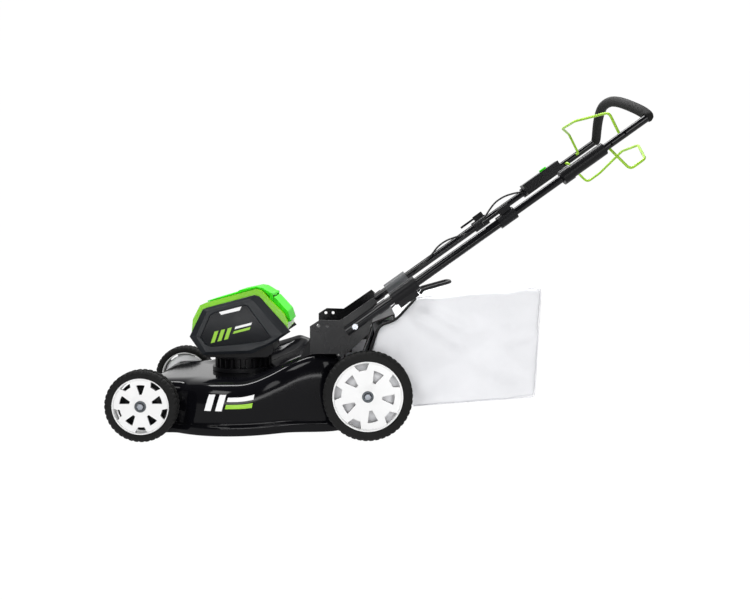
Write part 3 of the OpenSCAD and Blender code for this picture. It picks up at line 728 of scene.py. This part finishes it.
def crease(x, z):
    """Depth of all the creases at one place of a side panel."""
    total = 0.0
    for (x0, z0), (x1, z1), depth, width in BAG_CREASES:
        length = math.hypot(x1 - x0, z1 - z0)
        dx, dz = (x1 - x0) / length, (z1 - z0) / length
        along = (x - x0) * dx + (z - z0) * dz
        off = -(x - x0) * dz + (z - z0) * dx
        fade = smooth_step(-20, 30, along) * (1 - smooth_step(length - 40, length + 20, along))
        total += depth * fade * math.exp(-(off / width) ** 2)
    return total


def swell(value, start, length):
    """Rises from 0 at the start of a stretch to 1 at its middle, and falls back to 0."""
    return math.sin(math.pi * min(1, max(0, (value - start) / length)))


def bag_push(x, y, z, normal):
    """How far the cloth stands out from the plain box, in mm, for each of its sides."""
    fill_x = swell(x, 640, 500)
    fill_y = swell(y, -BAG_HALF, 2 * BAG_HALF)
    fill_z = swell(z, 90, 320)
    wrinkle = 1.6 * noise.noise(Vector((x * 0.018, y * 0.018, z * 0.018)))
    wrinkle += 0.8 * noise.noise(Vector((x * 0.05, y * 0.05 + 7, z * 0.05)))
    if abs(normal.y) > 0.6:
        return 7.0 * fill_x * fill_z - 1.7 * crease(x, z) + 2.2 * wrinkle
    if abs(normal.z) > 0.6:
        return (-7.0 if normal.z > 0 else 5.0) * fill_x * fill_y + 1.5 * wrinkle
    if normal.x > 0.5:
        return 6.0 * fill_y * fill_z + 1.5 * wrinkle
    return 0.0


def in_bag_mouth(face):
    centre = face.calc_center_median()
    return (face.normal.x < -0.5 and abs(centre.y) < BAG_MOUTH_HALF * MM
            and BAG_MOUTH_LOW * MM < centre.z < BAG_MOUTH_TOP * MM
            and centre.x < X0 + BAG_MOUTH_X * MM)


def build_bag_box():
    """The plain box of the bag, cut into small even faces."""
    mesh = bpy.data.meshes.new("bag_cloth_shell")
    bm = bmesh.new()
    rings = []
    for y in (-BAG_HALF + BAG_INSET, BAG_HALF - BAG_INSET):
        rings.append([bm.verts.new(at(x, y, z)) for x, z in BAG_OUTLINE])
    count = len(BAG_OUTLINE)
    bm.faces.new(rings[0])
    bm.faces.new(list(reversed(rings[1])))
    for i in range(count):
        j = (i + 1) % count
        bm.faces.new((rings[0][j], rings[0][i], rings[1][i], rings[1][j]))
    bmesh.ops.recalc_face_normals(bm, faces=bm.faces)
    bm.to_mesh(mesh)
    bm.free()
    bag = bpy.data.objects.new("bag_cloth_shell", mesh)
    bpy.context.scene.collection.objects.link(bag)
    remesh = bag.modifiers.new("remesh", "REMESH")
    remesh.mode = "VOXEL"
    remesh.voxel_size = BAG_VOXEL * MM
    soften = bag.modifiers.new("soften", "SMOOTH")
    soften.iterations = 4
    bpy.context.view_layer.update()
    mesh = bpy.data.meshes.new_from_object(
        bag.evaluated_get(bpy.context.evaluated_depsgraph_get()))
    bag.modifiers.clear()
    bag.data = mesh
    return bag, mesh


def build_bag():
    """A sewn box of cloth: crowned panels, creases and a real mouth at the front."""
    bag, mesh = build_bag_box()
    bm = bmesh.new()
    bm.from_mesh(mesh)
    bm.normal_update()
    for vert in bm.verts:
        x, y, z = (vert.co.x - X0) / MM, vert.co.y / MM, vert.co.z / MM
        vert.co += vert.normal * bag_push(x, y, z, vert.normal) * MM
    mouth = [face for face in bm.faces if in_bag_mouth(face)]
    bmesh.ops.delete(bm, geom=mouth, context="FACES")
    bm.to_mesh(mesh)
    bm.free()
    mesh.materials.clear()
    mesh.materials.append(M["bag"])
    for poly in mesh.polygons:
        poly.use_smooth = True
    thicken(bag, BAG_CLOTH)
    finish_piece(bag, "grass_bag", ("bag_fabric",))


def build_bag_trim():
    """Dark webbing sewn round the bag's front edge and pale piping on its side seams."""
    for side, name in ((-1, "left"), (1, "right")):
        y = (BAG_HALF - BAG_INSET) * side
        route = round_corners([at(x, y, z) for x, z in BAG_FRONT], SEAM_BEND * MM)
        sweep(f"bag_front_binding_{name}", route, BINDING_R * MM, M["trim"], "grass_bag", 10, ())
        route = round_corners([at(x, y, z) for x, z in BAG_SEAM], SEAM_BEND * MM)
        sweep(f"bag_piping_{name}", route, PIPING_R * MM, M["bag"], "grass_bag", 8, ())


# ---- Head ------------------------------------------------------------------------------
# Corners of the side panel in X and Z: outer edge, crest of the frame, edge of the inset
PANEL_EDGE = [(100, 278), (141, 360), (156, 366), (296, 403), (311, 399), (390, 309), (404, 292),
              (349, 256), (290, 226.5), (140, 222), (119, 250)]
PANEL_CREST = [(121, 280), (155, 354), (166, 360), (284, 391), (295, 386), (373, 291), (380, 285),
               (335, 256), (280, 236), (150, 232), (135, 254)]
PANEL_INSET = [(133, 276), (163, 344), (174, 351), (262, 375), (277, 371), (346, 276), (338, 270),
               (318, 263), (257, 254), (163, 247), (146, 256)]
PANEL_MID = Vector((232, 308))
INSET_FACE, INSET_BACK = 110.6, 108       # from the mower's middle plane
INSET_DRAW = 2.5                          # how far the sunk outline draws in
MARK_FACE, MARK_HALF = 110.9, 0.2
LID_HALF = 84
# Section of the lid, and of the bright slope behind it, in X and Z
LID_SECTION = [(150, 384.5), (240, 411), (248, 417), (299, 427.5), (316, 424.5), (342, 408.5),
               (348, 407), (350.5, 402), (347, 397.8), (339, 396.5), (316, 417.2),
               (300, 421.9), (152, 381.3)]
SLOPE_SECTION = [(343, 386), (348, 394), (354, 396), (394, 352), (404, 321), (396, 319),
                 (386, 344)]


def build_side_panel(side, name):
    """Chamfered frame round a sunk glossy inset."""
    sunk = [tuple(Vector(p) + (PANEL_MID - Vector(p)).normalized() * INSET_DRAW)
            for p in PANEL_INSET]
    # each outline with its distance from the mower's middle plane
    rings = [(PANEL_EDGE, 104.2), (PANEL_EDGE, 108.6), (PANEL_CREST, 114.4),
             (PANEL_INSET, 113.4), (sunk, 110.4)]
    verts, faces = [], []
    for outline, depth in rings:
        verts += [at(x, side * depth, z) for x, z in outline]
    n = len(PANEL_EDGE)
    for row in range(len(rings) - 1):
        for i in range(n):
            j = (i + 1) % n
            quad = (row * n + i, row * n + j, (row + 1) * n + j, (row + 1) * n + i)
            faces.append(quad if side < 0 else tuple(reversed(quad)))
    back = tuple(range(n))
    faces.append(tuple(reversed(back)) if side < 0 else back)
    frame_piece = make_object(f"{name}_panel_frame", verts, faces, M["grey"], "root",
                              (f"{name}_side_panel",), smooth=False)
    soft_edge(frame_piece, 1.6, 3, 12)
    plate = [at(x, side * y, z) for y in (INSET_FACE, INSET_BACK) for x, z in sunk]
    front = tuple(range(n))
    lid_faces = [front if side < 0 else tuple(reversed(front)),
                 tuple(range(2 * n - 1, n - 1, -1)) if side < 0 else tuple(range(n, 2 * n))]
    make_object(f"{name}_panel_inset", plate, lid_faces, M["inset"], "root", (),
                smooth=False)


def panel_bar(name, side, corners, material):
    """A thin painted bar on the inset of a side panel, given by its corners in X and Z."""
    y = MARK_FACE * side
    verts = [at(x, y + MARK_HALF * way, z) for way in (side, -side) for x, z in corners]
    n = len(corners)
    faces = [tuple(range(n)), tuple(reversed(range(n, 2 * n)))]
    faces += [(i, (i + 1) % n, n + (i + 1) % n, n + i) for i in range(n)]
    return make_object(name, verts, faces, material, "root", (), smooth=False)


def build_band(name, section, edge, body, replaces):
    """A bright moulding that runs across the head, as wide as the lid."""
    n = len(section)
    verts = [at(x, y, z) for y in (-LID_HALF, LID_HALF) for x, z in section]
    faces = [tuple(range(n)), tuple(reversed(range(n, 2 * n)))]
    faces += [(i, n + i, n + (i + 1) % n, (i + 1) % n) for i in range(n)]
    band = make_object(name, verts, faces, M["bright"], body, replaces,
                       smooth=False)
    soft_edge(band, edge, 3)


def build_head():
    """Both side panels with generic marks in place of lettering, the lid and the rear slope."""
    for side, name in ((-1, "left"), (1, "right")):
        build_side_panel(side, name)
        for i in range(3):
            x, z = 164 + 20 * i, 258 + 5 * i
            panel_bar(f"head_slash_{name}_{i}", side,
                      [(x, z), (x + 12, z + 3), (x + 24, z + 38), (x + 12, z + 35)],
                      M["decal_lime"])
        for i, color in enumerate(("decal_white", "decal_lime")):
            x, z = 236 - 5 * i, 300 - 14 * i
            panel_bar(f"head_bar_{name}_{i}", side,
                      [(x, z), (x + 50, z + 13), (x + 53, z + 21), (x + 3, z + 8)], M[color])
        panel_bar(f"head_label_{name}", side,
                  [(197, 344), (252, 357), (258, 369), (190, 352)], M["decal_white"])
    build_band("lid_cover", LID_SECTION, 1.0, "lid", ("battery_lid",))
    build_band("head_rear_slope", SLOPE_SECTION, 2.0, "root", ())


# ---- Studio -----------------------------------------------------------------------------
SHEET_SIZE, SHEET_LEVEL = (40, 24), 1.0
WORLD_LEVEL = 0.12
# Name, place, target, size and power of each light
LIGHTS = (
    ("overhead_strip", (-0.1, 0.25, 2.2), (-0.1, 0.0, 0.2), (2.6, 0.35), 80),
    ("front_key", (-1.9, -3.0, 2.6), (0, 0, 0.35), (1.6, 1.2), 62),
    ("side_fill", (1.8, -3.2, 1.6), (0.1, 0, 0.4), (1.2, 1.4), 30),
    ("low_strip", (0.0, -1.9, 0.18), (0, 0, 0.12), (2.2, 0.08), 7),
    ("back_rim", (0.4, 2.6, 2.2), (0, 0, 0.5), (2.4, 0.8), 12))
CAMERA_PLACE = (619.8, -2350.2, 540.7)
CAMERA_YAW, CAMERA_PITCH = math.radians(1.0), math.radians(3.9)
CAMERA_LENS, CAMERA_SENSOR = 35.78, 36


def glowing_sheet(name, size, location, rotation, level):
    """A white paper backdrop that reads as plain white behind the mower."""
    bpy.ops.mesh.primitive_plane_add(size=1, location=location, rotation=rotation)
    sheet = bpy.context.active_object
    sheet.name = name
    sheet.scale = (size[0], size[1], 1)
    mat, nodes, links, shader = new_material(name + "_paper")
    tex = add_node(nodes, "ShaderNodeTexNoise", Scale=2.0)
    links.new(ramp_between(nodes, links, tex.outputs["Fac"], grey(0.02), grey(0.03)),
              shader.inputs["Base Color"])
    shader.inputs["Roughness"].default_value = 1.0
    shader.inputs["Specular IOR Level"].default_value = 0.0
    shader.inputs["Emission Color"].default_value = (1, 1, 1, 1)
    shader.inputs["Emission Strength"].default_value = level
    sheet.data.materials.append(mat)


def build_stage():
    glowing_sheet("studio_floor", SHEET_SIZE, (0, 6, -0.0005), (0, 0, 0), SHEET_LEVEL)
    glowing_sheet("studio_wall", SHEET_SIZE, (0, 9, 8), (math.pi / 2, 0, 0), SHEET_LEVEL)
    world = bpy.data.worlds.new("studio")
    bpy.context.scene.world = world
    world.use_nodes = True
    background = world.node_tree.nodes["Background"]
    background.inputs["Color"].default_value = (1, 1, 1, 1)
    background.inputs["Strength"].default_value = WORLD_LEVEL
    bpy.context.scene.view_settings.view_transform = "Standard"


def add_light(name, location, target, size, power):
    data = bpy.data.lights.new(name, "AREA")
    data.shape = "RECTANGLE"
    data.size, data.size_y = size
    data.energy = power
    light = bpy.data.objects.new(name, data)
    bpy.context.scene.collection.objects.link(light)
    light.location = location
    light.rotation_euler = (Vector(target) - Vector(location)).to_track_quat("-Z", "Y").to_euler()


def build_lights():
    for name, location, target, size, power in LIGHTS:
        add_light(name, location, target, size, power)


def build_camera():
    """Nearly side-on from the operator's left, a little above the deck."""
    data = bpy.data.cameras.new("camera")
    camera = bpy.data.objects.new("camera", data)
    bpy.context.scene.collection.objects.link(camera)
    data.sensor_width = CAMERA_SENSOR
    data.lens = CAMERA_LENS
    camera.location = at(*CAMERA_PLACE)
    camera.rotation_euler = (math.pi / 2 - CAMERA_PITCH, 0, -CAMERA_YAW)
    bpy.context.scene.camera = camera


build_camera()
build_stage()
build_lights()
dress_cad_nodes()
build_deck()
build_deck_decals()
build_wheels()
build_grip()
build_bails()
build_cables()
build_bag()
build_bag_trim()
build_head()
